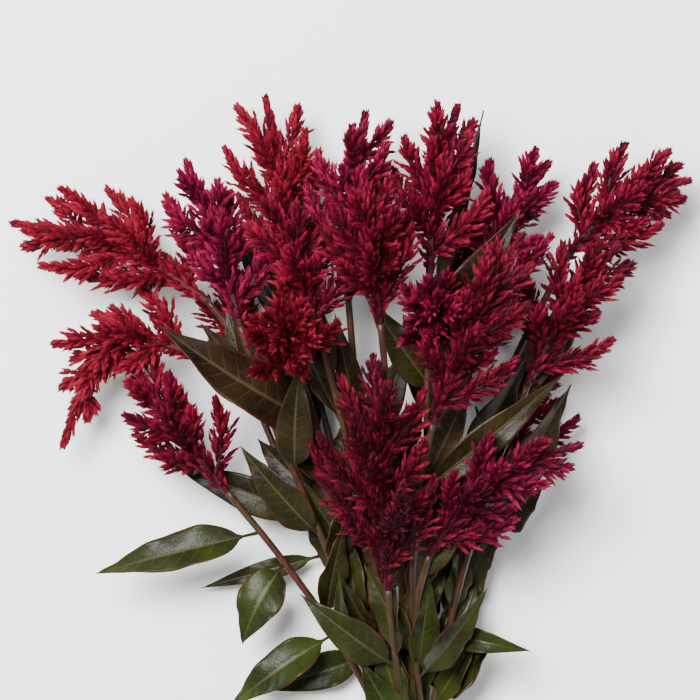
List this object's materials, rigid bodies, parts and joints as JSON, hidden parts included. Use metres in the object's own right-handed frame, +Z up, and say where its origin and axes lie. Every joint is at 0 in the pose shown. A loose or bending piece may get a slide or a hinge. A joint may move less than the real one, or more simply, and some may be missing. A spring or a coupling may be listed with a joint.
{
  "type": "tied bunch of plume celosia",
  "caption": "Bunch of cut plume celosia with feathery crimson plumes, bronze and green leaves and a twine tie, lying on its side.",
  "frame": {"origin": "on the surface that the bunch lies on, under the middle of the twine", "axes": "+Y along the stems from the cut ends to the plumes, +Z up from the surface, +X to the right in the picture"},
  "size_m": [0.407, 0.583, 0.1607],
  "materials": {
    "plume_scarlet": "dry papery florets, soft matt, orange-red",
    "plume_crimson": "dry papery florets, soft matt, deep crimson",
    "plume_magenta": "dry papery florets, soft matt, magenta-crimson",
    "leafy_stem_bronze": "fresh leaf with a faint sheen, bronze over olive",
    "leafy_stem_green": "fresh leaf with a faint sheen, mid green",
    "twine": "rough natural fibre"
  },
  "bodies": {
    "root": {"plume_far_left": "plume_scarlet", "plume_upper_left": "plume_magenta", "plume_top_left": "plume_scarlet", "plume_top_middle": "plume_magenta", "plume_front_middle": "plume_crimson", "plume_top": "plume_crimson", "plume_upper_right": "plume_magenta", "plume_far_right": "plume_crimson", "plume_right": "plume_crimson", "plume_front_right": "plume_crimson", "plume_round_right": "plume_magenta", "plume_round_left": "plume_scarlet", "plume_low_middle": "plume_crimson", "plume_low_right": "plume_magenta", "plume_drooping_left": "plume_scarlet", "plume_low_left": "plume_crimson", "plume_inner_left": "plume_crimson", "plume_under_right": "plume_crimson", "plume_under_left": "plume_scarlet", "plume_under_low": "plume_crimson", "stem_far_left": "leafy_stem_bronze", "stem_upper_left": "leafy_stem_bronze", "stem_top_left": "leafy_stem_bronze", "stem_top_middle": "leafy_stem_bronze", "stem_front_middle": "leafy_stem_bronze", "stem_top": "leafy_stem_bronze", "stem_upper_right": "leafy_stem_bronze", "stem_far_right": "leafy_stem_green", "stem_right": "leafy_stem_green", "stem_front_right": "leafy_stem_bronze", "stem_round_right": "leafy_stem_green", "stem_round_left": "leafy_stem_bronze", "stem_low_middle": "leafy_stem_green", "stem_low_right": "leafy_stem_green", "stem_drooping_left": "leafy_stem_bronze", "stem_low_left": "leafy_stem_green", "stem_inner_left": "leafy_stem_bronze", "stem_under_right": "leafy_stem_bronze", "stem_under_left": "leafy_stem_green", "stem_under_low": "leafy_stem_bronze", "twine": "twine"}
  },
  "joints": []
}
